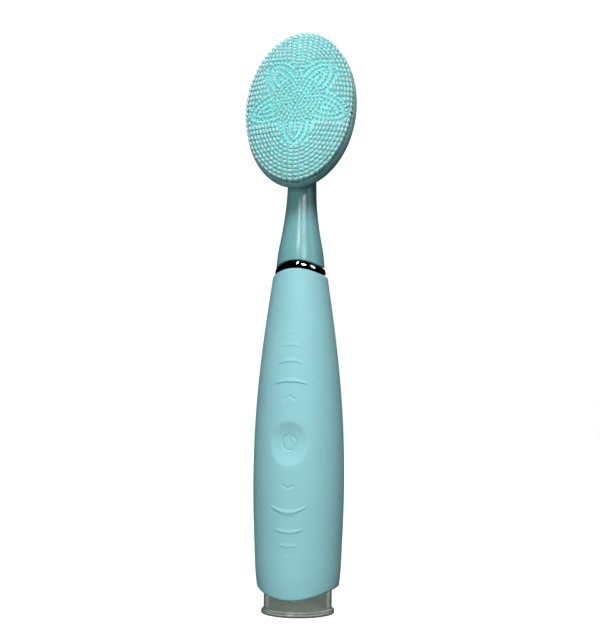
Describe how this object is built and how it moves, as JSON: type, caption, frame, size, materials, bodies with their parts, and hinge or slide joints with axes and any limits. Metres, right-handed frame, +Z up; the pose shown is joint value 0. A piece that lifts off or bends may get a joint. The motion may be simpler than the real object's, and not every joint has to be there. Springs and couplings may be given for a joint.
{
  "type": "facial cleansing brush",
  "caption": "Handheld sonic face brush: oval silicone bristle head on a waisted battery handle, standing in a clear cup.",
  "frame": {"origin": "centre of the clear stand's foot, on the surface it stands on", "axes": "+Z up along the handle's and the drive shaft's axis, -Y to the front, where the buttons and the bristles are, +X to the right seen from the front"},
  "size_m": [0.04, 0.0322, 0.2076],
  "materials": {
    "mint_silicone": "soft-touch satin silicone",
    "aqua_silicone": "satin silicone",
    "teal_gloss": "polished",
    "clear_plastic": "clear, polished",
    "chrome": "mirror plated",
    "steel": "plain",
    "brass": "sintered",
    "copper": "enamelled copper winding",
    "white_plastic": "moulded",
    "grey_plastic": "moulded",
    "black_plastic": "moulded",
    "black_rubber": "matte",
    "ferrite": "sintered",
    "board_green": "solder mask",
    "cell_wrap": "shrink wrap",
    "red_wire": "insulated",
    "black_wire": "insulated"
  },
  "bodies": {
    "stand": {"stand_cup": "clear_plastic"},
    "handle": {"handle_sleeve": "mint_silicone", "inner_barrel": "white_plastic", "trim_ring": "chrome", "top_cap": "black_plastic", "lip_seal": "black_rubber", "bottom_cap": "white_plastic", "bottom_seal": "black_rubber", "charging_coil": "copper", "coil_ferrite": "ferrite", "coil_lead_1": "copper", "coil_lead_2": "copper", "chassis": "grey_plastic", "battery": "cell_wrap", "battery_tab_positive": "steel", "battery_tab_negative": "steel", "battery_lead_positive": "red_wire", "battery_lead_negative": "black_wire", "circuit_board": "board_green", "controller_chip": "black_plastic", "charge_chip": "black_plastic", "indicator_led": "white_plastic", "board_screw_1": "steel", "board_screw_2": "steel", "board_screw_3": "steel", "board_screw_4": "steel", "switch_up": "black_plastic", "switch_power": "black_plastic", "switch_down": "black_plastic", "motor_can": "steel", "motor_end_plate": "white_plastic", "rear_bush": "brass", "front_bush": "brass", "stator_coil": "copper", "motor_boot": "black_rubber", "motor_lead_1": "red_wire", "motor_lead_2": "black_wire"},
    "drive_shaft": {"drive_shaft": "steel", "rotor_magnet": "ferrite", "return_spring": "steel"},
    "brush_head": {"head_body": "teal_gloss", "bristle_pad": "aqua_silicone", "pad_carrier": "white_plastic", "shaft_socket": "grey_plastic", "socket_clip": "steel"},
    "up_button": {"button_up": "mint_silicone", "plunger_up": "white_plastic"},
    "power_button": {"button_power": "mint_silicone", "plunger_power": "white_plastic"},
    "down_button": {"button_down": "mint_silicone", "plunger_down": "white_plastic"}
  },
  "joints": [
    {"name": "handle_lift", "type": "slide", "parent": "stand", "child": "handle", "axis": [0, 0, 1], "range_m": [0, 0.012]},
    {"name": "shaft_swing", "type": "hinge", "parent": "handle", "child": "drive_shaft", "pos_m": [0, 0, 0.104], "axis": [0, 0, 1], "range_deg": [-3, 3], "stiffness_Nm_per_rad": 0.3},
    {"name": "head_pull", "type": "slide", "parent": "drive_shaft", "child": "brush_head", "axis": [0, 0, 1], "range_m": [0, 0.02]},
    {"name": "up_press", "type": "slide", "parent": "handle", "child": "up_button", "axis": [0, 1, 0], "range_m": [0, 0.0006], "stiffness_N_per_m": 1500},
    {"name": "power_press", "type": "slide", "parent": "handle", "child": "power_button", "axis": [0, 1, 0], "range_m": [0, 0.0006], "stiffness_N_per_m": 1500},
    {"name": "down_press", "type": "slide", "parent": "handle", "child": "down_button", "axis": [0, 1, 0], "range_m": [0, 0.0006], "stiffness_N_per_m": 1500}
  ]
}
